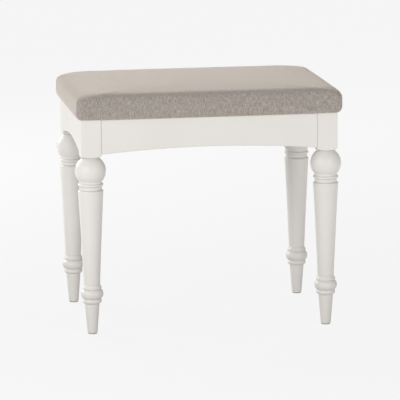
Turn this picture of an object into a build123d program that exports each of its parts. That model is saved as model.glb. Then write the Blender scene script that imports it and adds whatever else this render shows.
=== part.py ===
# Upholstered stool: a painted frame of four turned legs and four arched rails under a padded seat.
# Millimetres. +X is the stool's right, +Y its back, +Z up.
# The origin is on the floor below the seat's middle.

import math
import os

from build123d import *

os.makedirs("parts", exist_ok=True)

# Frame
leg_spacing_width = 454.0  # between leg axes, left to right
leg_spacing_depth = 298.0  # between leg axes, front to back
frame_height = 414.5  # floor to the top of the legs and rails

# Leg block, the square top of a leg
block_side = 38.5
block_length = 73.6  # down to the neck above the ball
block_arris = 1.0
pommel_height = 5.4  # sloped step from the square down to the neck
pommel_bulge = 0.4  # how far the step swells past a straight cone

# Turned elements above the shaft, from the neck down
neck_length = 1.5
neck_depth = 12.6  # below the ball's surface
ball_radius = 29.5
upper_fillet_depth = 7.7  # below the ball's surface
upper_fillet_length = 3.8
bead_swell = 2.5  # above the straight between its two fillets
bead_height = 5.8
lower_fillet_depth = 2.6  # below the top of the shaft
lower_fillet_length = 6.8
shoulder_height = 4.3
shoulder_swell = 1.2

# Tapered shaft, which takes the height that the turned elements leave
shaft_top_radius = 24.0
shaft_bottom_radius = 15.5
shaft_hollow = 0.35  # how far the taper curves in at its middle

# Turned elements below the shaft, from the foot up
foot_length = 57.0
foot_bottom_radius = 9.7
foot_edge = 0.8
foot_top_radius = 14.1
ankle_step_height = 1.6
ankle_root_radius = 17.0
ankle_ring_height = 7.2
ankle_ring_swell = 1.3
ankle_groove_height = 0.8
torus_height = 18.0
torus_swell = 4.6
collar_height = 6.0
collar_root_radius = 17.2
collar_swell = 1.2
collar_slope_height = 3.6

# Glides under the feet
glide_inset = 0.9  # inside the foot's rim
glide_height = 2.0
glide_edge = 0.5
glide_nail_radius = 1.3
glide_nail_length = 14.0
glide_nail_tip = 3.0

# Rails
rail_thickness = 20.0
rail_end_height = 66.5
rail_setback = 0.4  # behind the outer face of the leg blocks
rail_arris = 0.8
front_arch_rise = 9.5
side_arch_rise = 13.5

# Dowels between rails and leg blocks, those of the side rails set lower so that none meet inside a block
dowel_diameter = 8.0
dowel_reach = 16.0  # into each of the two pieces
dowel_chamfer = 1.0
dowel_end_room = 1.0
upper_dowel_depth = 14.0  # below the top of the frame
lower_dowel_rise = 28.0  # above the rail's lower end
dowel_stagger = 10.0

# Corner blocks
corner_block_width = 30.0
corner_block_height = 30.0
corner_block_room = 0.8  # to the staples under the seat
corner_block_gap = 0.3  # to the corner of the leg

# Wood screws
screw_diameter = 4.0
screw_head_diameter = 8.0
screw_head_height = 2.6
screw_tip_length = 5.0
screw_recess_side = 1.1
screw_recess_span = 4.4
screw_recess_depth = 1.4
screw_pocket_room = 1.0  # round a sunk head
corner_screw_offset = 10.0  # along the rail from the block's near end
corner_screw_sink = 14.0  # below the block's long face
corner_screw_rest = 5.0  # rail left in front of the tip
seat_screw_sink = 8.0  # below the block's underside
seat_screw_rest = 3.0  # board left above the tip

# Seat shape
seat_overhang = 10.0  # past the outer faces of the leg blocks
seat_corner_radius = 18.0  # of the upright corners
seat_top_corner_radius = 42.0  # of the corners on top, where the cover is pulled down
seat_tuck = 5.5  # how far the sides draw in at the underside
seat_tuck_height = 15.0  # over which they draw in
seat_straight_height = 18.5
seat_edge_radius = 15.0
roll_steps = 3  # in which the edge rolls over
seat_crown = 7.0  # middle of the seat above its rolled edge
crown_margin = 1.0  # between the rolled edge and the crown
crown_lip = 0.3
crown_stations = (-1, -0.75, -0.4, 0, 0.4, 0.75, 1)  # across the seat, as shares of the crown's half width

# Seat layers
cover_thickness = 1.2
wadding_thickness = 4.0
board_thickness = 12.0
board_room = 1.5  # for the wadding squeezed round the board's edge
board_corner_radius = 8.0
dust_cover_thickness = 0.5
dust_cover_gap = 5.0  # to the rails and to the corners of the legs

# Staples, in one row round the dust cover and one row round the cover's turned edge
staple_width = 10.0
staple_wire = 0.7
staple_leg = 8.0
dust_staple_inset = 5.0  # from the dust cover's edge
staple_row_gap = 4.0  # between the two rows
cover_staple_inset = 5.0  # from the cover's raw edge
staple_row_margin = 8.0  # from the dust cover's cut corner to the last staple
staples_along_width = 10
staples_along_depth = 6

# Clearances
fit_clearance = 0.1  # round a dowel, screw, nail or staple in its hole
layer_clearance = 0.4  # between the soft layers of the seat

# Turned profile that follows from the sizes above
neck_radius = ball_radius - neck_depth
upper_fillet_radius = ball_radius - upper_fillet_depth
lower_fillet_radius = shaft_top_radius - lower_fillet_depth
neck_level = frame_height - block_length
ball_top = neck_level - neck_length
ball_middle = ball_top - math.sqrt(ball_radius**2 - neck_radius**2)
ball_bottom = ball_middle - math.sqrt(ball_radius**2 - upper_fillet_radius**2)
bead_top = ball_bottom - upper_fillet_length
bead_bottom = bead_top - bead_height
shoulder_top = bead_bottom - lower_fillet_length
shaft_top = shoulder_top - shoulder_height
foot_bottom = glide_height
foot_top = foot_bottom + foot_length
ankle_ring_bottom = foot_top + ankle_step_height
ankle_ring_top = ankle_ring_bottom + ankle_ring_height
torus_bottom = ankle_ring_top + ankle_groove_height
collar_bottom = torus_bottom + torus_height
collar_top = collar_bottom + collar_height
shaft_bottom = collar_top + collar_slope_height

# Places in plan that follow from the sizes above
rail_face = block_side / 2 - rail_setback  # leg axis to the outer face of a rail
rail_middle = rail_face - rail_thickness / 2  # leg axis to the middle of a rail
rail_inner_x = leg_spacing_width / 2 + rail_face - rail_thickness
rail_inner_y = leg_spacing_depth / 2 + rail_face - rail_thickness
leg_intrusion = block_side / 2 + rail_face - rail_thickness  # leg block past the inner face of a rail
corner_near = 2 * leg_intrusion + corner_block_gap * math.sqrt(2)  # along a rail to the block's near face
corner_far = corner_near + corner_block_width * math.sqrt(2)  # along a rail to its far face
corner_screw_place = corner_near + corner_screw_offset
corner_screw_head = corner_far - corner_screw_place - corner_screw_sink  # rail to screw head
seat_screw_place = (corner_near + corner_far) / 4
dust_half_width = rail_inner_x - dust_cover_gap
dust_half_depth = rail_inner_y - dust_cover_gap
dust_corner_cut = 2 * leg_intrusion + dust_cover_gap * math.sqrt(2) - 2 * dust_cover_gap
cover_row_inset = dust_staple_inset + staple_row_gap
flap_inset = cover_row_inset + cover_staple_inset
staple_step = (staple_width - staple_wire) / 2
seat_width = leg_spacing_width + block_side + 2 * seat_overhang
seat_depth = leg_spacing_depth + block_side + 2 * seat_overhang

# Heights that follow from the sizes above
rail_end_level = frame_height - rail_end_height
front_dowel_levels = (frame_height - upper_dowel_depth, rail_end_level + lower_dowel_rise)
side_dowel_levels = tuple(level - dowel_stagger for level in front_dowel_levels)
dust_cover_level = frame_height - dust_cover_thickness
dust_staple_level = dust_cover_level - staple_wire
corner_block_top = dust_staple_level - corner_block_room
corner_block_bottom = corner_block_top - corner_block_height
corner_screw_level = corner_block_bottom + corner_block_height / 2
seat_screw_level = corner_block_bottom + seat_screw_sink
board_bottom = frame_height + cover_thickness + layer_clearance
board_top = board_bottom + board_thickness
corner_screw_length = corner_screw_head + rail_thickness - corner_screw_rest
seat_screw_length = board_top - seat_screw_rest - seat_screw_level
roll_height = seat_tuck_height + seat_straight_height  # underside to where the edge starts to roll over
seat_edge_height = roll_height + seat_edge_radius

corners = {"front_left": (-1, -1), "front_right": (1, -1), "back_left": (-1, 1), "back_right": (1, 1)}
rails = {
    "front_rail": (Vector(0, -1, 0), leg_spacing_width, leg_spacing_depth, front_arch_rise),
    "back_rail": (Vector(0, 1, 0), leg_spacing_width, leg_spacing_depth, front_arch_rise),
    "left_rail": (Vector(-1, 0, 0), leg_spacing_depth, leg_spacing_width, side_arch_rise),
    "right_rail": (Vector(1, 0, 0), leg_spacing_depth, leg_spacing_width, side_arch_rise),
}


def save(part, label):
    """Name a finished piece and write it out."""
    part.label = label
    export_step(part, f"parts/{label}.step")


def leg_axis(side, end):
    """Plan position of the axis of one leg."""
    return side * leg_spacing_width / 2, end * leg_spacing_depth / 2


def upright_plane(x, y):
    """Vertical plane through a point in plan, with its own x to the right and its own y up."""
    return Plane(origin=(x, y, 0), x_dir=(1, 0, 0), z_dir=(0, -1, 0))


def joint_planes(side, end):
    """Planes on the two inner faces of a leg block, centred on each rail and facing along it."""
    x, y = leg_axis(side, end)
    across = (x - side * block_side / 2, y + end * rail_middle, 0)
    along = (x + side * rail_middle, y - end * block_side / 2, 0)
    return (
        Plane(origin=across, x_dir=(0, 1, 0), z_dir=(-side, 0, 0)),
        Plane(origin=along, x_dir=(1, 0, 0), z_dir=(0, -end, 0)),
    )


def dowel_planes(side, end):
    """Planes of the four dowels that enter one leg block, each at the joint and facing into the rail."""
    for face, levels in zip(joint_planes(side, end), (front_dowel_levels, side_dowel_levels)):
        for level in levels:
            yield Plane(origin=face.origin + Vector(0, 0, level), x_dir=face.x_dir, z_dir=face.z_dir)


# Turned legs, each in one piece with its square block
for corner, (side, end) in corners.items():
    x, y = leg_axis(side, end)
    turning_axis = Axis((x, y, 0), (0, 0, 1))
    block_half_diagonal = block_side / 2 * math.sqrt(2)
    pommel_middle = (neck_radius + block_half_diagonal) / 2
    torus_radius = (ankle_root_radius + collar_root_radius) / 2 + torus_swell
    shaft_middle_radius = (shaft_bottom_radius + shaft_top_radius) / 2 - shaft_hollow
    shoulder_radius = (shaft_top_radius + lower_fillet_radius) / 2 + shoulder_swell
    bead_radius = (lower_fillet_radius + upper_fillet_radius) / 2 + bead_swell
    with BuildPart() as leg:
        with BuildSketch(Plane((x, y, neck_level))):
            Rectangle(block_side, block_side)
        extrude(amount=block_length)
        chamfer(leg.edges().filter_by(Axis.Z), length=block_arris)
        with BuildSketch(upright_plane(x, y)):
            with BuildLine():
                Line((0, neck_level), (neck_radius, neck_level))
                ThreePointArc(
                    (neck_radius, neck_level),
                    (pommel_middle + pommel_bulge, neck_level + pommel_height / 2 - pommel_bulge),
                    (block_half_diagonal, neck_level + pommel_height),
                )
                Polyline(
                    (block_half_diagonal, neck_level + pommel_height),
                    (block_half_diagonal, frame_height),
                    (0, frame_height),
                    (0, neck_level),
                )
            make_face()
        revolve(axis=turning_axis, mode=Mode.INTERSECT)
        with BuildSketch(upright_plane(x, y)):
            with BuildLine():
                Polyline(
                    (0, foot_bottom),
                    (foot_bottom_radius - foot_edge, foot_bottom),
                    (foot_bottom_radius, foot_bottom + foot_edge),
                    (foot_top_radius, foot_top),
                    (ankle_root_radius, ankle_ring_bottom),
                )
                ThreePointArc(
                    (ankle_root_radius, ankle_ring_bottom),
                    (ankle_root_radius + ankle_ring_swell, ankle_ring_bottom + ankle_ring_height / 2),
                    (ankle_root_radius, ankle_ring_top),
                )
                Line((ankle_root_radius, ankle_ring_top), (ankle_root_radius, torus_bottom))
                ThreePointArc(
                    (ankle_root_radius, torus_bottom),
                    (torus_radius, torus_bottom + torus_height / 2),
                    (collar_root_radius, collar_bottom),
                )
                ThreePointArc(
                    (collar_root_radius, collar_bottom),
                    (collar_root_radius + collar_swell, collar_bottom + collar_height / 2),
                    (collar_root_radius, collar_top),
                )
                Line((collar_root_radius, collar_top), (shaft_bottom_radius, shaft_bottom))
                ThreePointArc(
                    (shaft_bottom_radius, shaft_bottom),
                    (shaft_middle_radius, (shaft_bottom + shaft_top) / 2),
                    (shaft_top_radius, shaft_top),
                )
                ThreePointArc(
                    (shaft_top_radius, shaft_top),
                    (shoulder_radius, shaft_top + shoulder_height / 2),
                    (lower_fillet_radius, shoulder_top),
                )
                Line((lower_fillet_radius, shoulder_top), (lower_fillet_radius, bead_bottom))
                ThreePointArc(
                    (lower_fillet_radius, bead_bottom),
                    (bead_radius, bead_bottom + bead_height / 2),
                    (upper_fillet_radius, bead_top),
                )
                Line((upper_fillet_radius, bead_top), (upper_fillet_radius, ball_bottom))
                ThreePointArc(
                    (upper_fillet_radius, ball_bottom),
                    (ball_radius, ball_middle),
                    (neck_radius, ball_top),
                )
                Polyline(
                    (neck_radius, ball_top),
                    (neck_radius, neck_level),
                    (0, neck_level),
                    (0, foot_bottom),
                )
            make_face()
        revolve(axis=turning_axis)
        for dowel_plane in dowel_planes(side, end):
            with BuildSketch(dowel_plane):
                Circle(dowel_diameter / 2 + fit_clearance)
            extrude(amount=-(dowel_reach + dowel_end_room), mode=Mode.SUBTRACT)
        with BuildSketch(Plane((x, y, foot_bottom))):
            Circle(glide_nail_radius + fit_clearance)
        extrude(amount=glide_nail_length + fit_clearance, mode=Mode.SUBTRACT)
    save(leg.part, f"leg_{corner}")

# Glides, each a disc with its nail
for corner, (side, end) in corners.items():
    x, y = leg_axis(side, end)
    glide_radius = foot_bottom_radius - glide_inset
    nail_top = foot_bottom + glide_nail_length
    with BuildPart() as glide:
        with BuildSketch(upright_plane(x, y)):
            with BuildLine():
                Polyline(
                    (0, 0),
                    (glide_radius - glide_edge, 0),
                    (glide_radius, glide_edge),
                    (glide_radius, foot_bottom),
                    (glide_nail_radius, foot_bottom),
                    (glide_nail_radius, nail_top - glide_nail_tip),
                    (0, nail_top),
                    close=True,
                )
            make_face()
        revolve(axis=Axis((x, y, 0), (0, 0, 1)))
    save(glide.part, f"foot_glide_{corner}")


def corner_point(side, end, from_side_rail, from_end_rail):
    """Plan position at a distance from the inner faces of the two rails that meet at a corner."""
    return side * (rail_inner_x - from_side_rail), end * (rail_inner_y - from_end_rail)


def corner_screw_planes(side, end):
    """Planes at the heads of a corner block's two screws, facing into the rails."""
    to_end_x, to_end_y = corner_point(side, end, corner_screw_place, corner_screw_head)
    to_side_x, to_side_y = corner_point(side, end, corner_screw_head, corner_screw_place)
    yield Plane(origin=(to_end_x, to_end_y, corner_screw_level), x_dir=(1, 0, 0), z_dir=(0, end, 0))
    yield Plane(origin=(to_side_x, to_side_y, corner_screw_level), x_dir=(0, 1, 0), z_dir=(side, 0, 0))


def seat_screw_plane(side, end):
    """Plane at the head of one seat screw, facing up."""
    x, y = corner_point(side, end, seat_screw_place, seat_screw_place)
    return Plane((x, y, seat_screw_level))


def screws(planes, length):
    """Countersunk wood screws with a cross recess, heads at the planes and tips along their normals."""
    shank = screw_diameter / 2
    with BuildPart() as group:
        for plane in planes:
            section = Plane(origin=plane.origin, x_dir=plane.x_dir, z_dir=plane.x_dir.cross(plane.z_dir))
            with BuildSketch(section):
                with BuildLine():
                    Polyline(
                        (0, 0),
                        (screw_head_diameter / 2, 0),
                        (shank, screw_head_height),
                        (shank, length - screw_tip_length),
                        (0, length),
                        close=True,
                    )
                make_face()
            revolve(axis=Axis(plane.origin, plane.z_dir))
            with BuildSketch(plane):
                Rectangle(screw_recess_span, screw_recess_side)
                Rectangle(screw_recess_side, screw_recess_span)
            extrude(amount=screw_recess_depth, mode=Mode.SUBTRACT)
    return group.part


# Rails with an arched lower edge, butted between the blocks
for label, (outward, spacing, gap, rise) in rails.items():
    half = (spacing - block_side) / 2
    low = rail_end_level
    along_rail = Vector(0, 0, 1).cross(outward)
    face_plane = Plane(origin=outward * (gap / 2 + rail_face), x_dir=along_rail, z_dir=outward)
    with BuildPart() as rail:
        with BuildSketch(face_plane):
            with BuildLine():
                ThreePointArc((-half, low), (0, low + rise), (half, low))
                Polyline((half, low), (half, frame_height), (-half, frame_height), (-half, low))
            make_face()
        extrude(amount=-rail_thickness)
        chamfer(rail.faces().sort_by(Axis((0, 0, 0), outward))[-1].edges(), length=rail_arris)
        for side, end in corners.values():
            for dowel_plane in dowel_planes(side, end):
                with BuildSketch(dowel_plane):
                    Circle(dowel_diameter / 2 + fit_clearance)
                extrude(amount=dowel_reach + dowel_end_room, mode=Mode.SUBTRACT)
            for screw_plane in corner_screw_planes(side, end):
                with BuildSketch(screw_plane):
                    Circle(screw_diameter / 2 + fit_clearance)
                extrude(amount=corner_screw_length + fit_clearance, mode=Mode.SUBTRACT)
    save(rail.part, label)

# Dowels, two at each rail end
with BuildPart() as rail_dowels:
    for side, end in corners.values():
        for dowel_plane in dowel_planes(side, end):
            with BuildSketch(dowel_plane):
                Circle(dowel_diameter / 2)
            extrude(amount=dowel_reach, both=True)
    chamfer(rail_dowels.edges().filter_by(GeomType.CIRCLE), length=dowel_chamfer)
save(rail_dowels.part, "rail_dowels")

# Corner blocks, bars set across the corners behind the legs
for corner, (side, end) in corners.items():
    with BuildPart() as corner_block:
        with BuildSketch(Plane.XY.offset(corner_block_bottom)):
            with BuildLine():
                Polyline(
                    corner_point(side, end, corner_near, 0),
                    corner_point(side, end, corner_far, 0),
                    corner_point(side, end, 0, corner_far),
                    corner_point(side, end, 0, corner_near),
                    close=True,
                )
            make_face()
        extrude(amount=corner_block_height)
        for screw_plane in corner_screw_planes(side, end):
            with BuildSketch(screw_plane):
                Circle(screw_diameter / 2 + fit_clearance)
            extrude(amount=corner_screw_head, mode=Mode.SUBTRACT)
            with BuildSketch(screw_plane.offset(screw_head_height)):
                Circle(screw_head_diameter / 2 + screw_pocket_room)
            extrude(amount=-(corner_far + screw_head_height), mode=Mode.SUBTRACT)
        with BuildSketch(seat_screw_plane(side, end)):
            Circle(screw_diameter / 2 + fit_clearance)
        extrude(amount=corner_block_height, mode=Mode.SUBTRACT)
        with BuildSketch(seat_screw_plane(side, end).offset(screw_head_height)):
            Circle(screw_head_diameter / 2 + screw_pocket_room)
        extrude(amount=-(seat_screw_sink + screw_head_height), mode=Mode.SUBTRACT)
    save(corner_block.part, f"corner_block_{corner}")

corner_screw_heads = [plane for place in corners.values() for plane in corner_screw_planes(*place)]
save(screws(corner_screw_heads, corner_screw_length), "corner_block_screws")
seat_screw_heads = [seat_screw_plane(*place) for place in corners.values()]
save(screws(seat_screw_heads, seat_screw_length), "seat_screws")


def side_draw_in(height):
    """How far the seat's sides draw in at a height above the underside."""
    return seat_tuck * max(0.0, 1 - height / seat_tuck_height) ** 2


def seat_form(inset, floor):
    """Padded shape of the seat, offset inwards, from a floor above the underside to its crown."""
    roll = seat_edge_radius - inset
    corner_growth = seat_top_corner_radius - seat_corner_radius
    sections = []
    for height in (0, seat_tuck_height / 2, seat_tuck_height):
        sections.append((height, inset + side_draw_in(height), seat_corner_radius - inset))
    for step in range(roll_steps + 1):
        turn = math.pi / 2 * step / roll_steps
        share = 1 - math.cos(turn)
        rounding = seat_corner_radius + corner_growth * share - inset
        sections.append((roll_height + roll * math.sin(turn), inset + roll * share, rounding))
    crown_base = frame_height + seat_edge_height - inset
    corner_loss = seat_top_corner_radius * (1 - math.cos(math.pi / 4))
    crown_inset = seat_edge_radius + corner_loss + crown_margin
    crown_half_width = seat_width / 2 - crown_inset
    crown_half_depth = seat_depth / 2 - crown_inset
    with BuildPart() as form:
        for height, back, rounding in sections:
            with BuildSketch(Plane.XY.offset(frame_height + height)):
                RectangleRounded(seat_width - 2 * back, seat_depth - 2 * back, rounding)
        loft()
        for station in crown_stations:
            top = crown_base + crown_lip + (seat_crown - crown_lip) * (1 - station**2)
            with BuildSketch(Plane.YZ.offset(station * crown_half_width)):
                with BuildLine():
                    ThreePointArc((-crown_half_depth, crown_base), (0, top), (crown_half_depth, crown_base))
                    Line((crown_half_depth, crown_base), (-crown_half_depth, crown_base))
                make_face()
        loft()
        if floor > 0:
            split(bisect_by=Plane.XY.offset(frame_height + floor), keep=Keep.TOP)
    return form.part


def staple_spots(row_inset):
    """Places of the staples in four rows at a distance in from the dust cover's edges."""
    half_width = dust_half_width - row_inset
    half_depth = dust_half_depth - row_inset
    reach_x = dust_half_width - dust_corner_cut - staple_row_margin
    reach_y = dust_half_depth - dust_corner_cut - staple_row_margin
    spots = []
    for k in range(staples_along_width):
        x = -reach_x + 2 * reach_x * k / (staples_along_width - 1)
        spots += [Location((x, row, 0)) for row in (-half_depth, half_depth)]
    for k in range(staples_along_depth):
        y = -reach_y + 2 * reach_y * k / (staples_along_depth - 1)
        spots += [Location((row, y, 0), (0, 0, 90)) for row in (-half_width, half_width)]
    return spots


def staples(spots, level, room=0.0):
    """Wire staples with their crowns at a level and their legs up, or the pockets that they sit in."""
    leg_spots = [spot * Location((step, 0, 0)) for spot in spots for step in (-staple_step, staple_step)]
    with BuildPart() as group:
        with BuildSketch(Plane.XY.offset(level)):
            with Locations(*spots):
                Rectangle(staple_width + 2 * room, staple_wire + 2 * room)
        extrude(amount=staple_wire + room)
        with BuildSketch(Plane.XY.offset(level)):
            with Locations(*leg_spots):
                Rectangle(staple_wire + 2 * room, staple_wire + 2 * room)
        extrude(amount=staple_leg + room)
    return group.part


cover_spots = staple_spots(cover_row_inset)
dust_spots = staple_spots(dust_staple_inset)
cover_pockets = staples(cover_spots, frame_height, fit_clearance)
dust_pockets = staples(dust_spots, dust_staple_level, fit_clearance)

# Seat layers, from the outside in
outer_shape = seat_form(0, 0)
cover_cavity = seat_form(cover_thickness, cover_thickness)
with BuildPart() as seat_cover:
    add(outer_shape)
    add(cover_cavity, mode=Mode.SUBTRACT)
    with BuildSketch(Plane.XY.offset(frame_height)):
        Rectangle(2 * (dust_half_width - flap_inset), 2 * (dust_half_depth - flap_inset))
    extrude(amount=cover_thickness, mode=Mode.SUBTRACT)
    add(cover_pockets, mode=Mode.SUBTRACT)
    add(dust_pockets, mode=Mode.SUBTRACT)
save(seat_cover.part, "seat_cover")

wadding_inset = cover_thickness + layer_clearance
wadding_outside = seat_form(wadding_inset, wadding_inset)
wadding_cavity = seat_form(wadding_inset + wadding_thickness, wadding_inset)
with BuildPart() as seat_wadding:
    add(wadding_outside)
    add(wadding_cavity, mode=Mode.SUBTRACT)
save(seat_wadding.part, "seat_wadding")

foam_inset = wadding_inset + wadding_thickness + layer_clearance
save(seat_form(foam_inset, board_top - frame_height), "seat_foam")

board_inset = foam_inset + side_draw_in(board_bottom - frame_height) + board_room
with BuildPart() as seat_board:
    with BuildSketch(Plane.XY.offset(board_bottom)):
        RectangleRounded(seat_width - 2 * board_inset, seat_depth - 2 * board_inset, board_corner_radius)
    extrude(amount=board_thickness)
    for side, end in corners.values():
        with BuildSketch(seat_screw_plane(side, end)):
            Circle(screw_diameter / 2 + fit_clearance)
        extrude(amount=seat_screw_length + fit_clearance, mode=Mode.SUBTRACT)
    add(cover_pockets, mode=Mode.SUBTRACT)
    add(dust_pockets, mode=Mode.SUBTRACT)
save(seat_board.part, "seat_board")

# Dust cover, cut back at the corners round the legs
with BuildPart() as dust_cover:
    with BuildSketch(Plane.XY.offset(dust_cover_level)) as dust_outline:
        Rectangle(2 * dust_half_width, 2 * dust_half_depth)
        chamfer(dust_outline.vertices(), length=dust_corner_cut)
    extrude(amount=dust_cover_thickness)
    for side, end in corners.values():
        with BuildSketch(seat_screw_plane(side, end)):
            Circle(screw_diameter / 2 + fit_clearance)
        extrude(amount=seat_screw_length, mode=Mode.SUBTRACT)
    add(dust_pockets, mode=Mode.SUBTRACT)
save(dust_cover.part, "dust_cover")

save(staples(cover_spots, frame_height), "cover_staples")
save(staples(dust_spots, dust_staple_level), "dust_cover_staples")
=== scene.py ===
"""Looks of the upholstered stool: finishes, padded seat, dust cover, light and camera."""

import math

import bmesh
import bpy
from mathutils import Matrix, Vector, noise


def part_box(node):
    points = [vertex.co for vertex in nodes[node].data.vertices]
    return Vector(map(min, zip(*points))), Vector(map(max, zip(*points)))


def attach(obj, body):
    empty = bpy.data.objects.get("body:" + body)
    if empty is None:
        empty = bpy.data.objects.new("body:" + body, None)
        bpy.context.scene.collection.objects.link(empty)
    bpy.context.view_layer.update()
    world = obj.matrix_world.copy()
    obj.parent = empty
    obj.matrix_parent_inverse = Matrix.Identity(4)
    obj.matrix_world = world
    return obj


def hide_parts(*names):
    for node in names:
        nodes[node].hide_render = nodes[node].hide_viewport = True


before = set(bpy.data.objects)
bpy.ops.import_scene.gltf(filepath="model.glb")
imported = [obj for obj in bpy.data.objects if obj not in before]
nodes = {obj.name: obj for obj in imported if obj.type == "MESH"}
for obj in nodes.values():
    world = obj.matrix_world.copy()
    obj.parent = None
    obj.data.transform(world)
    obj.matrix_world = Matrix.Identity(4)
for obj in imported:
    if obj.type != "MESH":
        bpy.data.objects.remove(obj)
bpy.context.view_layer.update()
scene = bpy.context.scene
MM = 0.001


def colour(red, green, blue):
    """Linear colour from display values of 0 to 255."""
    return tuple(((c / 255 + 0.055) / 1.055) ** 2.4 for c in (red, green, blue)) + (1.0,)


# Seat shape, inside the box of the cover in the CAD
SEAT_LOW, SEAT_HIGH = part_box("seat_cover")
SEAT_MIDDLE = (SEAT_LOW + SEAT_HIGH) / 2
SEAT_HALF = (SEAT_HIGH - SEAT_LOW) / 2
SEAT_CORNER = 12 * MM  # radius of the upright corners at the front
SEAT_BACK_CORNER = 20 * MM
SEAT_TOP_CORNER = 56 * MM  # radius of the corners where the top begins
SEAT_TUCK = 4 * MM  # how far the sides draw in at the underside
SEAT_TUCK_HEIGHT = 13 * MM
SEAT_BELLY_HEIGHT = 20.5 * MM
SEAT_ROLL = 15 * MM  # height of the rounded edge under the top
SIDE_ROLL_SHARE = 1.4  # how much wider the edge rolls over on the short sides
SEAT_CROWN = 7 * MM
SEAT_EDGE = SEAT_TUCK_HEIGHT + SEAT_BELLY_HEIGHT + SEAT_ROLL
SEAT_TOP = SEAT_LOW.z + SEAT_EDGE
UNDERSIDE_ROUND = 2 * MM  # where the cover turns under
UNDERSIDE_STEPS = 3
TUCK_SHARES = (0.3, 0.5, 0.75, 1.0)  # heights of the outlines over the tuck
ROLL_STEPS = 8

# Padding, as it is simulated
START_INSET = 0.8 * MM  # the pad starts smaller and swells
VOXEL = 5 * MM
PRESSURE = 4.0
LAST_FRAME = 20
MOST_MOVE = 9 * MM
SMOOTH_FACTOR = 0.5
SMOOTH_ROUNDS = 2

# Top corners, drawn down by the cover
FRONT_CORNER_DROP = 2.5 * MM
BACK_CORNER_DROP = 5 * MM
CORNER_REACH = 36 * MM

# Pleats on the cover's short sides
PLEAT_DEPTH = 1.6 * MM
PLEAT_WIDTH = 2.6 * MM
PLEAT_PLACE = 16 * MM  # from the seat's corner
PLEAT_LAP = 0.7 * MM  # the folded layer beside the pleat
PLEAT_LAP_RISE = 0.4 * PLEAT_WIDTH  # how softly that layer begins
SIDE_FACING = 0.5  # least sideways share of a normal on a short side

# Dust cover
DUST_SAG = 2.5 * MM
DUST_RIPPLE = 0.6 * MM
RIPPLE_SCALE = 22  # per metre
DUST_GRID = 6 * MM
DUST_THICKNESS = 0.4 * MM
DUST_CUT = 33.27 * MM  # along each edge, at the corners round the legs

# Range that holds most values of a noise texture
NOISE_LOW = 0.3
NOISE_HIGH = 0.7

# Paint, with the scales of its noise per metre
PAINT_DULL = colour(225, 221, 215)
PAINT_BRIGHT = colour(229, 226, 221)
# paint colour where shade is painted into the grooves and joints
PAINT_IN_SHADE = colour(120, 113, 104)
STROKES_ACROSS = 420.0
STROKES_ALONG = 9.0
STROKE_SHARE = 0.35  # of the tone, beside the clouds
PAINT_CLOUDS = 9.0
PAINT_NIBS = 900.0
NIB_HEIGHT = 0.25  # beside the strokes

# Painted shade, where shadow falls in the grooves turned into the legs and at the rails' ends: place
# and shade
LEG_GROOVE_SHADE = (
    (340.9 * MM, 0.5),
    (291.5 * MM, 0.2),
    (285.7 * MM, 0.2),
    (278.9 * MM, 0.3),
    (96.2 * MM, 0.15),
    (86.6 * MM, 0.2),
    (68.2 * MM, 0.2),
    (59.8 * MM, 0.2),
)
WIDE_RAIL_END_SHADE = ((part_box("front_rail")[1].x, 0.5),)
DEEP_RAIL_END_SHADE = ((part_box("left_rail")[1].y, 0.3),)
# widths of the painted shade lines, wider on the short rails
SHADE_WIDTH = 1.5 * MM
SIDE_SHADE_WIDTH = 4 * MM

# Bare beech, with the scales of its noise per metre
BEECH_DARK = colour(206, 172, 128)
BEECH_LIGHT = colour(226, 197, 155)
BEECH_FLECK = colour(160, 118, 78)
FLECKS_ACROSS = 260.0
FLECKS_ALONG = 14.0
RINGS_ACROSS = 34.0
RINGS_ALONG = 2.5
RING_BANDS = 9.0

# Plywood, with the scales of its noise per metre
PLY_LIGHT = colour(221, 193, 150)
PLY_DARK = colour(196, 160, 114)
PLY_EDGE = colour(150, 108, 70)
PLY_GRAIN_ACROSS = 150.0
PLY_GRAIN_ALONG = 6.0
PLY_THICKNESS = 1.5 * MM
EDGE_FACING = 0.5  # largest upright share of a normal on the board's edge

# Zinc plating and nylon, with the scales of their noise per metre
ZINC_DULL = colour(196, 200, 204)
ZINC_BRIGHT = colour(226, 226, 222)
ZINC_CLOUDS = 260.0
NYLON_CLEAN = colour(176, 172, 165)
NYLON_SCUFFED = colour(140, 136, 130)
NYLON_GRAIN = 2400.0
NYLON_SCUFFS = (60.0, 700.0, 60.0)

# Dust cloth, with the scales of its noise per metre
DUST_DARK = colour(26, 26, 27)
DUST_LIGHT = colour(52, 52, 54)
DUST_DOT = colour(18, 18, 19)
DUST_DOT_PITCH = 1.6 * MM
DUST_FIBRES = (900.0, 160.0, 400.0)
DUST_FIBRE_TURN = 0.6  # radians
DUST_FIBRE_HEIGHT = 0.6  # beside the dots

# Cover
YARN = 1.2 * MM  # yarn spacing
YARN_DRIFT = 0.16  # how fast a yarn's tone changes along it
YARN_APART = 3.7  # how far neighbouring yarns lie apart in the noise
SLUB_WIDTH = 0.8 * MM  # thick places in the yarn
SLUB_LENGTH = 11 * MM
CROSS_SLUB_SHARE = 0.25
SLUB_SHARE = 0.6  # of the tone, beside the yarns
FUZZ_SCALE = 2600.0  # per metre
FUZZ_HEIGHT = 0.5  # beside the yarns
HEATHER_DARK = colour(119, 111, 104)
HEATHER_LIGHT = colour(195, 186, 178)
HEATHER_SHEEN = colour(242, 231, 220)

# Floor light: two distances from the stool's middle in metres, and its strength at each
NEAR_BOUNCE = (0.2, 1.3, 0.40, 1.1)
FAR_BOUNCE = (1.8, 2.6, 1.0, 0.3)
SHOWN_GLOW = (0.5, 3.0, 0.85, 0.89)
FLOOR_REACH = 30.0
FLOOR_GREY = (0.08, 0.08, 0.08, 1.0)
WHITE = (1.0, 1.0, 1.0, 1.0)

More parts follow.
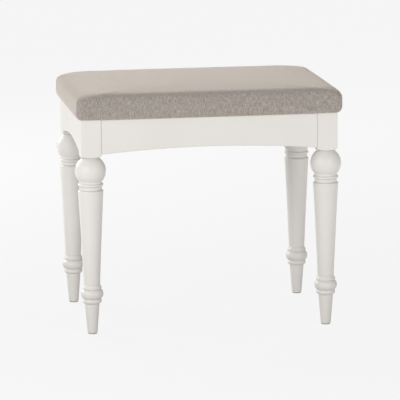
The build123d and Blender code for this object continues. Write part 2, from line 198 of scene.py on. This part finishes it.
# Lights: place and size in metres, and power in watts
LIGHTS = {
    "box_left": ((-1.53, -1.58, 0.95), (0.7, 1.1), 16.0),
    "box_right": ((0.98, -2.19, 0.95), (0.7, 1.1), 15.0),
    "key_left": ((-2.0, -0.3, 1.1), (1.0, 1.0), 6.0),
    "back_left": ((-1.6, 1.8, 1.2), (1.2, 1.2), 32.0),
    "behind": ((-0.3, 2.4, 1.3), (2.4, 1.0), 12.0),
}
LIGHT_AIM = Vector((0.0, 0.0, 0.35))
WORLD_STRENGTH = 0.34

# Camera, from the photograph's perspective
CAMERA_AZIMUTH = 9.06  # degrees to the left of the front
CAMERA_ELEVATION = 10.17
CAMERA_ROLL = -0.42
CAMERA_DISTANCE = 6.225
CAMERA_AIM = Vector((0.0065, 0.0, 0.2242))
CAMERA_LENS = 286.5  # millimetres, as the sensor's width
CAMERA_SENSOR = 36.0
CAMERA_SIGHT = 100.0


class Graph:
    """A material's node tree, built up node by node."""

    def __init__(self, name):
        self.material = bpy.data.materials.new(name)
        self.material.use_nodes = True
        self.tree = self.material.node_tree
        self.tree.nodes.clear()

    def add(self, kind, inputs=None, **settings):
        """A node with its settings, its inputs linked to sockets or set to values."""
        node = self.tree.nodes.new("ShaderNode" + kind)
        for key, value in settings.items():
            setattr(node, key, value)
        for key, value in (inputs or {}).items():
            if isinstance(value, bpy.types.NodeSocket):
                self.tree.links.new(value, node.inputs[key])
            else:
                node.inputs[key].default_value = value
        return node

    def math(self, operation, first, second=0.0):
        return self.add("Math", {0: first, 1: second}, operation=operation).outputs[0]

    def blend(self, share, first, second):
        """A number between two, by the second one's share."""
        return self.add("Mix", {0: share, 2: first, 3: second}).outputs[0]

    def mix(self, share, first, second):
        """A colour between two, by the second one's share."""
        node = self.add("Mix", {0: share, 6: first, 7: second}, data_type="RGBA")
        return node.outputs[2]

    def fit(self, value, low, high, to_low=0.0, to_high=1.0):
        """A value moved from one range to another, and kept inside it."""
        inputs = {"Value": value, 1: low, 2: high, 3: to_low, 4: to_high}
        return self.add("MapRange", inputs).outputs[0]

    def spread(self, value, to_low=0.0, to_high=1.0):
        """A noise value spread over a range."""
        return self.fit(value, NOISE_LOW, NOISE_HIGH, to_low, to_high)

    def scaled(self, vector, scale, turn=0.0):
        inputs = {"Vector": vector, "Scale": scale, "Rotation": (0, 0, turn)}
        return self.add("Mapping", inputs).outputs[0]

    def noise(self, vector, scale=1.0, detail=2.0, roughness=0.5):
        inputs = {"Vector": vector, "Scale": scale, "Detail": detail, "Roughness": roughness}
        return self.add("TexNoise", inputs).outputs[0]

    def grain(self, vector, axis, across, along, detail=3.0, roughness=0.6):
        """Noise drawn out along one axis."""
        scale = [across, across, across]
        scale[axis] = along
        return self.noise(self.scaled(vector, scale), detail=detail, roughness=roughness)

    def parts(self, vector):
        return self.add("SeparateXYZ", {0: vector}).outputs

    def joined(self, x, y):
        return self.add("CombineXYZ", {0: x, 1: y}).outputs[0]

    def place(self):
        """Where a point lies in the stool's own frame, in metres."""
        return self.add("TexCoord").outputs["Object"]

    def lines(self, value, places, width):
        """How much painted shade a point gets that lies near one of the places."""
        painted_shade = 0.0
        for place, shade in places:
            away = self.math("ABSOLUTE", self.math("SUBTRACT", value, place))
            painted_shade = self.math("MAXIMUM", painted_shade, self.fit(away, 0.0, width, shade, 0.0))
        return painted_shade

    def bump(self, height, depth, strength):
        inputs = {"Height": height, "Distance": depth, "Strength": strength}
        return self.add("Bump", inputs).outputs[0]

    def surface(self, **inputs):
        """The finished material, with the shader's sockets named by keywords."""
        sockets = {key.replace("_", " "): value for key, value in inputs.items()}
        shader = self.add("BsdfPrincipled", sockets)
        self.add("OutputMaterial", {"Surface": shader.outputs[0]})
        return self.material


def painted_wood(name, grain_axis, lines, shade_width):
    """Satin off-white lacquer with faint brush strokes along the grain, and painted shade in the
    grooves and joints.
    """
    graph = Graph(name)
    place = graph.place()
    strokes = graph.grain(place, grain_axis, STROKES_ACROSS, STROKES_ALONG)
    cloud = graph.noise(place, scale=PAINT_CLOUDS)
    nibs = graph.noise(place, scale=PAINT_NIBS, detail=1.0)
    tone = graph.blend(STROKE_SHARE, cloud, strokes)
    base = graph.mix(graph.spread(tone), PAINT_DULL, PAINT_BRIGHT)
    along_grain = graph.math("ABSOLUTE", graph.parts(place)[grain_axis])
    # painted shade in the turned grooves of the legs and at the rails' ends
    base = graph.mix(graph.lines(along_grain, lines, shade_width), base, PAINT_IN_SHADE)
    relief = graph.math("ADD", strokes, graph.math("MULTIPLY", nibs, NIB_HEIGHT))
    return graph.surface(
        Base_Color=base,
        Roughness=graph.spread(cloud, 0.36, 0.42),
        Specular_IOR_Level=0.45,
        Normal=graph.bump(relief, 0.1 * MM, 0.2),
    )


def bare_wood(name, turn=0.0):
    """Unpainted beech: pale, with fine flecks and soft growth rings along the grain."""
    graph = Graph(name)
    place = graph.scaled(graph.place(), (1.0, 1.0, 1.0), turn)
    fleck = graph.grain(place, 0, FLECKS_ACROSS, FLECKS_ALONG, roughness=0.65)
    ring = graph.grain(place, 0, RINGS_ACROSS, RINGS_ALONG, detail=2.0, roughness=0.5)
    band = graph.math("PINGPONG", graph.math("MULTIPLY", ring, RING_BANDS), 1.0)
    base = graph.mix(graph.fit(band, 0.1, 0.9), BEECH_DARK, BEECH_LIGHT)
    base = graph.mix(graph.fit(fleck, 0.58, 0.75, 0.0, 0.55), base, BEECH_FLECK)
    return graph.surface(
        Base_Color=base,
        Roughness=graph.spread(fleck, 0.55, 0.72),
        Normal=graph.bump(fleck, 0.2 * MM, 0.5),
    )


def plywood(name):
    """Birch plywood: thin plies on edge and long pale grain on the faces."""
    graph = Graph(name)
    place = graph.place()
    height = graph.parts(place)[2]
    ply = graph.math("PINGPONG", graph.math("MULTIPLY", height, 1 / PLY_THICKNESS), 1.0)
    grain = graph.grain(place, 0, PLY_GRAIN_ACROSS, PLY_GRAIN_ALONG)
    base = graph.mix(graph.fit(grain, 0.35, 0.7), PLY_LIGHT, PLY_DARK)
    normal_z = graph.parts(graph.add("NewGeometry").outputs["Normal"])[2]
    edge = graph.math("LESS_THAN", graph.math("ABSOLUTE", normal_z), EDGE_FACING)
    dark_ply = graph.math("MULTIPLY", edge, graph.fit(ply, 0.4, 0.6))
    base = graph.mix(dark_ply, base, PLY_EDGE)
    return graph.surface(
        Base_Color=base,
        Roughness=graph.spread(grain, 0.6, 0.75),
        Normal=graph.bump(grain, 0.2 * MM, 0.4),
    )


def zinc_steel(name):
    """Zinc-plated wire and screws with a soft, slightly uneven plating."""
    graph = Graph(name)
    cloud = graph.noise(graph.place(), scale=ZINC_CLOUDS, detail=3.0, roughness=0.6)
    return graph.surface(
        Base_Color=graph.mix(cloud, ZINC_DULL, ZINC_BRIGHT),
        Metallic=1.0,
        Roughness=graph.spread(cloud, 0.25, 0.45),
        Normal=graph.bump(cloud, 0.05 * MM, 0.4),
    )


def glide_plastic(name):
    """Moulded grey nylon with a fine matt grain and scuffs from the floor."""
    graph = Graph(name)
    place = graph.place()
    grain = graph.noise(place, scale=NYLON_GRAIN, detail=1.0)
    scuff = graph.noise(graph.scaled(place, NYLON_SCUFFS), detail=3.0, roughness=0.7)
    return graph.surface(
        Base_Color=graph.mix(graph.fit(scuff, 0.5, 0.8), NYLON_CLEAN, NYLON_SCUFFED),
        Roughness=graph.fit(scuff, 0.3, 0.8, 0.42, 0.62),
        Normal=graph.bump(grain, 0.05 * MM, 0.5),
    )


def dust_cloth(name):
    """Black spun cloth with an embossed grid of bonding points and stray fibres."""
    graph = Graph(name)
    place = graph.place()
    x, y, _ = graph.parts(place)
    pitch = 2 * math.pi / DUST_DOT_PITCH
    dots = graph.math(
        "MULTIPLY",
        graph.math("SINE", graph.math("MULTIPLY", x, pitch)),
        graph.math("SINE", graph.math("MULTIPLY", y, pitch)),
    )
    fibre_place = graph.scaled(place, DUST_FIBRES, DUST_FIBRE_TURN)
    fibres = graph.noise(fibre_place, detail=4.0, roughness=0.7)
    base = graph.mix(graph.fit(fibres, 0.35, 0.75), DUST_DARK, DUST_LIGHT)
    base = graph.mix(graph.fit(dots, 0.3, 0.8, 0.0, 0.5), base, DUST_DOT)
    fibre_relief = graph.math("MULTIPLY", fibres, DUST_FIBRE_HEIGHT)
    relief = graph.math("SUBTRACT", fibre_relief, graph.fit(dots, 0.2, 0.8))
    return graph.surface(
        Base_Color=base,
        Roughness=graph.spread(fibres, 0.78, 0.92),
        Sheen_Weight=0.25,
        Sheen_Roughness=0.5,
        Normal=graph.bump(relief, 0.25 * MM, 0.7),
    )


def heather_cloth(name):
    """Plain-woven heather cloth: yarns of their own tones, which drift along them, and a soft fuzz."""
    graph = Graph(name)
    cloth = graph.add("Attribute", attribute_name="cloth").outputs["Vector"]
    across, along, _ = graph.parts(graph.scaled(cloth, (1 / YARN, 1 / YARN, 1.0)))
    warp = graph.math("FLOOR", across)
    weft = graph.math("FLOOR", along)
    over = graph.math("FLOORED_MODULO", graph.math("ADD", warp, weft), 2.0)

    warp_x = graph.math("MULTIPLY", warp, YARN_APART)
    warp_y = graph.math("MULTIPLY", along, YARN_DRIFT)
    weft_x = graph.math("MULTIPLY", across, YARN_DRIFT)
    weft_y = graph.math("MULTIPLY", weft, YARN_APART)
    warp_tone = graph.noise(graph.joined(warp_x, warp_y))
    weft_tone = graph.noise(graph.joined(weft_x, weft_y))
    long_slub = graph.noise(graph.scaled(cloth, (1 / SLUB_WIDTH, 1 / SLUB_LENGTH, 1.0)), detail=1.0)
    cross_slub = graph.noise(graph.scaled(cloth, (1 / SLUB_LENGTH, 1 / SLUB_WIDTH, 1.0)), detail=1.0)
    slub = graph.blend(CROSS_SLUB_SHARE, long_slub, cross_slub)
    tone = graph.blend(SLUB_SHARE, graph.blend(over, weft_tone, warp_tone), slub)

    warp_round = graph.math("SINE", graph.math("MULTIPLY", graph.math("FRACT", across), math.pi))
    weft_round = graph.math("SINE", graph.math("MULTIPLY", graph.math("FRACT", along), math.pi))
    fuzz = graph.noise(graph.scaled(cloth, (FUZZ_SCALE, FUZZ_SCALE, 1.0)))
    fuzz_relief = graph.math("MULTIPLY", fuzz, FUZZ_HEIGHT)
    relief = graph.math("ADD", graph.blend(over, weft_round, warp_round), fuzz_relief)
    return graph.surface(
        Base_Color=graph.mix(graph.fit(tone, 0.34, 0.66), HEATHER_DARK, HEATHER_LIGHT),
        Roughness=graph.spread(fuzz, 0.82, 0.95),
        Specular_IOR_Level=0.2,
        Sheen_Weight=1.0,
        Sheen_Roughness=0.47,
        Sheen_Tint=HEATHER_SHEEN,
        Normal=graph.bump(relief, 0.3 * MM, 0.6),
    )


def paint_frame():
    """Gives every CAD node that stays in view its finish."""
    # each grain direction with its own painted shade lines, at the rails' ends or in the legs' grooves
    along_x = painted_wood("painted_wood_x", 0, WIDE_RAIL_END_SHADE, SHADE_WIDTH)
    along_y = painted_wood("painted_wood_y", 1, DEEP_RAIL_END_SHADE, SIDE_SHADE_WIDTH)
    along_z = painted_wood("painted_wood_z", 2, LEG_GROOVE_SHADE, SHADE_WIDTH)
    block_one_way = bare_wood("bare_wood_diagonal", math.pi / 4)
    block_other_way = bare_wood("bare_wood_counter_diagonal", -math.pi / 4)
    dowel_wood = bare_wood("bare_wood_dowel")
    steel = zinc_steel("zinc_steel")
    plastic = glide_plastic("glide_plastic")
    finishes = {
        "front_rail": along_x,
        "back_rail": along_x,
        "left_rail": along_y,
        "right_rail": along_y,
        "rail_dowels": dowel_wood,
        "corner_block_front_left": block_one_way,
        "corner_block_back_right": block_one_way,
        "corner_block_front_right": block_other_way,
        "corner_block_back_left": block_other_way,
        "corner_block_screws": steel,
        "seat_screws": steel,
        "cover_staples": steel,
        "dust_cover_staples": steel,
        "seat_board": plywood("plywood"),
    }
    for corner in ("front_left", "front_right", "back_left", "back_right"):
        finishes["leg_" + corner] = along_z
        finishes["foot_glide_" + corner] = plastic
    for node, finish in finishes.items():
        mesh = nodes[node].data
        mesh.materials.clear()
        mesh.materials.append(finish)


def new_piece(name, mesh, finish):
    """A new object in the scene with one finish."""
    piece = bpy.data.objects.new(name, mesh)
    scene.collection.objects.link(piece)
    mesh.materials.clear()
    mesh.materials.append(finish)
    return piece


def rounded_ring(half_x, half_y, front_radius, back_radius, corner_steps=10):
    """Points round a rectangle with rounded corners, anticlockwise."""
    ring = []
    for quarter, (side, end) in enumerate(((1, 1), (-1, 1), (-1, -1), (1, -1))):
        radius = back_radius if end > 0 else front_radius
        centre = Vector((side * (half_x - radius), end * (half_y - radius)))
        for step in range(corner_steps + 1):
            turn = (quarter + step / corner_steps) * math.pi / 2
            ring.append(centre + radius * Vector((math.cos(turn), math.sin(turn))))
    return ring


def quarter_turn(steps):
    """Angles from nought to a right angle."""
    return [step / steps * math.pi / 2 for step in range(steps + 1)]


def seat_sections():
    """The pad's outlines from the bottom up: height, draw-in along x and y, and corner rounding."""
    sections = []
    for turn in quarter_turn(UNDERSIDE_STEPS):
        height = UNDERSIDE_ROUND * (1 - math.cos(turn))
        draw = SEAT_TUCK * (1 - height / SEAT_TUCK_HEIGHT) ** 2
        draw += UNDERSIDE_ROUND * (1 - math.sin(turn))
        sections.append((height, draw, draw, 0.0))
    for share in TUCK_SHARES:
        draw = SEAT_TUCK * (1 - share) ** 2
        sections.append((SEAT_TUCK_HEIGHT * share, draw, draw, 0.0))
    for turn in quarter_turn(ROLL_STEPS):
        height = SEAT_TUCK_HEIGHT + SEAT_BELLY_HEIGHT + SEAT_ROLL * math.sin(turn)
        share = 1 - math.cos(turn)
        sections.append((height, SEAT_ROLL * SIDE_ROLL_SHARE * share, SEAT_ROLL * share, share))
    return sections


def pad_mesh():
    """Closed starting shape of the pad, with a flat top that the simulation swells."""
    shape = bmesh.new()
    rings = []
    for height, draw_x, draw_y, rounding in seat_sections():
        half_x = SEAT_HALF.x - draw_x - START_INSET
        half_y = SEAT_HALF.y - draw_y - START_INSET
        front_radius = SEAT_CORNER + (SEAT_TOP_CORNER - SEAT_CORNER) * rounding
        back_radius = SEAT_BACK_CORNER + (SEAT_TOP_CORNER - SEAT_BACK_CORNER) * rounding
        level = SEAT_LOW.z + height
        ring = []
        for point in rounded_ring(half_x, half_y, front_radius, back_radius):
            place = (SEAT_MIDDLE.x + point.x, SEAT_MIDDLE.y + point.y, level)
            ring.append(shape.verts.new(place))
        rings.append(ring)
    for low, high in zip(rings, rings[1:]):
        for k in range(len(low)):
            shape.faces.new((low[k - 1], low[k], high[k], high[k - 1]))
    shape.faces.new(rings[-1])
    shape.faces.new(reversed(rings[0]))
    mesh = bpy.data.meshes.new("seat_pad_start")
    shape.to_mesh(mesh)
    shape.free()
    return mesh


def settled(piece):
    """The piece's mesh with its modifiers applied."""
    graph = bpy.context.evaluated_depsgraph_get()
    return bpy.data.meshes.new_from_object(piece.evaluated_get(graph))


def apply_modifiers(piece):
    """Makes what the piece's modifiers do part of its mesh."""
    done = settled(piece)
    piece.modifiers.clear()
    piece.data = done


def swell(piece):
    """Blows the pad up as cloth held at its underside, then keeps as much as the crown needs."""
    start = [v.co.copy() for v in piece.data.vertices]
    underside = [k for k, co in enumerate(start) if co.z < SEAT_LOW.z + UNDERSIDE_ROUND]
    held = piece.vertex_groups.new(name="held")
    held.add(underside, 1.0, "REPLACE")
    cloth = piece.modifiers.new("swell", "CLOTH")
    settings = cloth.settings
    settings.use_pressure = True
    settings.uniform_pressure_force = PRESSURE
    settings.vertex_group_mass = held.name
    settings.effector_weights.gravity = 0
    for number in range(1, LAST_FRAME + 1):
        scene.frame_set(number)
    swollen = [v.co.copy() for v in settled(piece).vertices]
    piece.modifiers.clear()
    piece.vertex_groups.clear()
    scene.frame_set(1)
    moves = [after - before for before, after in zip(start, swollen)]
    share = SEAT_CROWN / max(move.z for move in moves)
    for vertex, before, move in zip(piece.data.vertices, start, moves):
        step = move * share
        if step.length > MOST_MOVE:
            step.length = MOST_MOVE
        vertex.co = before + step


def from_edges(co):
    """How far a point lies inside the seat's ends and inside its front or back."""
    x = SEAT_HALF.x - abs(co.x - SEAT_MIDDLE.x)
    y = SEAT_HALF.y - abs(co.y - SEAT_MIDDLE.y)
    return x, y


def pull_corners(mesh):
    """Draws the top corners down, the back ones further, as a tight cover does."""
    for vertex in mesh.vertices:
        inside = sum(from_edges(vertex.co))
        height = (vertex.co.z - SEAT_LOW.z) / SEAT_EDGE
        drop = BACK_CORNER_DROP if vertex.co.y > SEAT_MIDDLE.y else FRONT_CORNER_DROP
        vertex.co.z -= drop * math.exp(-inside / CORNER_REACH) * max(0.0, height) ** 2
    mesh.update()


def fold_corners(mesh):
    """Presses a pleat into the short sides near each corner and lays the folded layer beside it."""
    for vertex in mesh.vertices:
        normal = vertex.normal
        if abs(normal.x) < SIDE_FACING:
            continue
        inward = from_edges(vertex.co)[1] - PLEAT_PLACE
        below_top = min(1.0, max(0.0, (SEAT_TOP - vertex.co.z) / SEAT_ROLL))
        fade = below_top * (abs(normal.x) - SIDE_FACING) / (1 - SIDE_FACING)
        dip = PLEAT_DEPTH * math.exp(-((inward / PLEAT_WIDTH) ** 2))
        lap = PLEAT_LAP / (1 + math.exp((inward + PLEAT_WIDTH) / PLEAT_LAP_RISE))
        vertex.co += normal * (lap - dip) * fade
    mesh.update()


def lay_cloth(mesh):
    """Stores where each point lies on the flat cloth, so that the weave runs over the edges."""
    laid = mesh.attributes.new("cloth", "FLOAT_VECTOR", "CORNER")
    for face in mesh.polygons:
        over_side = abs(face.normal.x) > abs(face.normal.y)
        for loop in face.loop_indices:
            co = mesh.vertices[mesh.loops[loop].vertex_index].co
            drop = max(0.0, SEAT_TOP - co.z)
            x, y = co.x, co.y
            if over_side:
                x += math.copysign(drop, x)
            else:
                y += math.copysign(drop, y)
            laid.data[loop].vector = (x, y, 0.0)


def make_cushion():
    """The padded seat, swollen by simulation, in its woven cover."""
    cushion = new_piece("seat_cushion", pad_mesh(), heather_cloth("heather_cloth"))
    remesh = cushion.modifiers.new("even", "REMESH")
    remesh.mode = "VOXEL"
    remesh.voxel_size = VOXEL
    remesh.use_smooth_shade = True
    form = bpy.data.objects.new("seat_pad_form", cushion.data.copy())
    scene.collection.objects.link(form)
    wrap = cushion.modifiers.new("wrap", "SHRINKWRAP")
    wrap.target = form
    apply_modifiers(cushion)
    bpy.data.objects.remove(form)
    swell(cushion)
    smooth = cushion.modifiers.new("smooth", "SMOOTH")
    smooth.factor = SMOOTH_FACTOR
    smooth.iterations = SMOOTH_ROUNDS
    finer = cushion.modifiers.new("finer", "SUBSURF")
    finer.levels = 1
    apply_modifiers(cushion)
    pull_corners(cushion.data)
    fold_corners(cushion.data)
    lay_cloth(cushion.data)
    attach(cushion, "root")
    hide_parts("seat_cover", "seat_wadding", "seat_foam")
    return cushion


def dust_cover_mesh(low, high):
    """A grid over the dust cover's box, cut off at its corners and slack between its edges."""
    middle = (low + high) / 2
    half = (high - low) / 2
    columns = round(2 * half.x / DUST_GRID)
    rows = round(2 * half.y / DUST_GRID)
    place = Matrix.Translation(middle) @ Matrix.Diagonal((half.x, half.y, 1.0, 1.0))
    shape = bmesh.new()
    bmesh.ops.create_grid(shape, x_segments=columns, y_segments=rows, size=1.0, matrix=place)
    for side in (-1, 1):
        for end in (-1, 1):
            cut_x = middle.x + side * (half.x - DUST_CUT / 2)
            cut_y = middle.y + end * (half.y - DUST_CUT / 2)
            bmesh.ops.bisect_plane(
                shape,
                geom=shape.verts[:] + shape.edges[:] + shape.faces[:],
                plane_co=(cut_x, cut_y, low.z),
                plane_no=(side, end, 0),
                clear_outer=True,
            )
    for vertex in shape.verts:
        x = (vertex.co.x - middle.x) / half.x
        y = (vertex.co.y - middle.y) / half.y
        slack = max(0.0, 1 - x * x) * max(0.0, 1 - y * y)
        ripple = noise.noise(Vector((vertex.co.x * RIPPLE_SCALE, vertex.co.y * RIPPLE_SCALE, 0.0)))
        vertex.co.z -= slack * (DUST_SAG + DUST_RIPPLE * ripple)
    mesh = bpy.data.meshes.new("dust_cover_cloth")
    shape.to_mesh(mesh)
    shape.free()
    mesh.shade_smooth()
    return mesh


def make_dust_cover():
    """Thin black cloth stapled under the seat, a little slack between the staples."""
    low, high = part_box("dust_cover")
    cloth = new_piece("dust_cover_cloth", dust_cover_mesh(low, high), dust_cloth("dust_cloth"))
    thick = cloth.modifiers.new("thick", "SOLIDIFY")
    thick.thickness = DUST_THICKNESS
    thick.offset = 0.0
    apply_modifiers(cloth)
    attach(cloth, "root")
    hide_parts("dust_cover")


def floor_finish():
    """Pale glow that keeps a trace of shadow, lights the stool less from close by, clear from below."""
    graph = Graph("floor")
    seen = graph.add("LightPath").outputs["Is Camera Ray"]
    reach = graph.add("VectorMath", {0: graph.place()}, operation="LENGTH").outputs["Value"]
    near = graph.fit(reach, *NEAR_BOUNCE)
    far = graph.fit(reach, *FAR_BOUNCE)
    bounce = graph.math("MULTIPLY", near, far)
    strength = graph.blend(seen, bounce, graph.fit(reach, *SHOWN_GLOW))
    glow = graph.add("Emission", {"Color": WHITE, "Strength": strength})
    matt = graph.add("BsdfDiffuse", {"Color": FLOOR_GREY})
    both = graph.add("AddShader", {0: glow.outputs[0], 1: matt.outputs[0]})
    clear = graph.add("BsdfTransparent")
    underside = graph.add("NewGeometry").outputs["Backfacing"]
    shown = graph.add("MixShader", {0: underside, 1: both.outputs[0], 2: clear.outputs[0]})
    graph.add("OutputMaterial", {"Surface": shown.outputs[0]})
    return graph.material


def make_stage():
    """Plain floor under the stool."""
    shape = bmesh.new()
    bmesh.ops.create_grid(shape, x_segments=1, y_segments=1, size=FLOOR_REACH)
    mesh = bpy.data.meshes.new("floor")
    shape.to_mesh(mesh)
    shape.free()
    new_piece("floor", mesh, floor_finish())


def add_light(name, place, size, power):
    """A soft rectangular light aimed at the stool."""
    lamp = bpy.data.lights.new(name, "AREA")
    lamp.shape = "RECTANGLE"
    lamp.size, lamp.size_y = size
    lamp.energy = power
    light = bpy.data.objects.new(name, lamp)
    light.location = place
    light.rotation_mode = "QUATERNION"
    light.rotation_quaternion = (LIGHT_AIM - Vector(place)).to_track_quat("-Z", "Y")
    scene.collection.objects.link(light)


def make_light():
    """Plain soft studio light: two upright boxes in front, a key from the left and two behind."""
    world = bpy.data.worlds.new("studio")
    scene.world = world
    world.use_nodes = True
    background = world.node_tree.nodes["Background"]
    background.inputs["Color"].default_value = WHITE
    background.inputs["Strength"].default_value = WORLD_STRENGTH
    for name, (place, size, power) in LIGHTS.items():
        add_light(name, place, size, power)
    scene.view_settings.view_transform = "Standard"


def make_camera():
    """Camera at the photograph's viewing angle."""
    azimuth = math.radians(CAMERA_AZIMUTH)
    elevation = math.radians(CAMERA_ELEVATION)
    roll = math.radians(CAMERA_ROLL)
    back = Vector(
        (
            -math.sin(azimuth) * math.cos(elevation),
            -math.cos(azimuth) * math.cos(elevation),
            math.sin(elevation),
        )
    )
    level = Vector((math.cos(azimuth), -math.sin(azimuth), 0.0))
    upright = back.cross(level)
    right = level * math.cos(roll) + upright * math.sin(roll)
    turn = Matrix((right, back.cross(right), back)).transposed().to_4x4()
    data = bpy.data.cameras.new("camera")
    data.sensor_width = CAMERA_SENSOR
    data.lens = CAMERA_LENS
    data.clip_end = CAMERA_SIGHT
    camera = bpy.data.objects.new("camera", data)
    camera.matrix_world = Matrix.Translation(CAMERA_AIM + back * CAMERA_DISTANCE) @ turn
    scene.collection.objects.link(camera)
    scene.camera = camera


paint_frame()
seat_cushion = make_cushion()
make_dust_cover()
make_stage()
make_light()
make_camera()
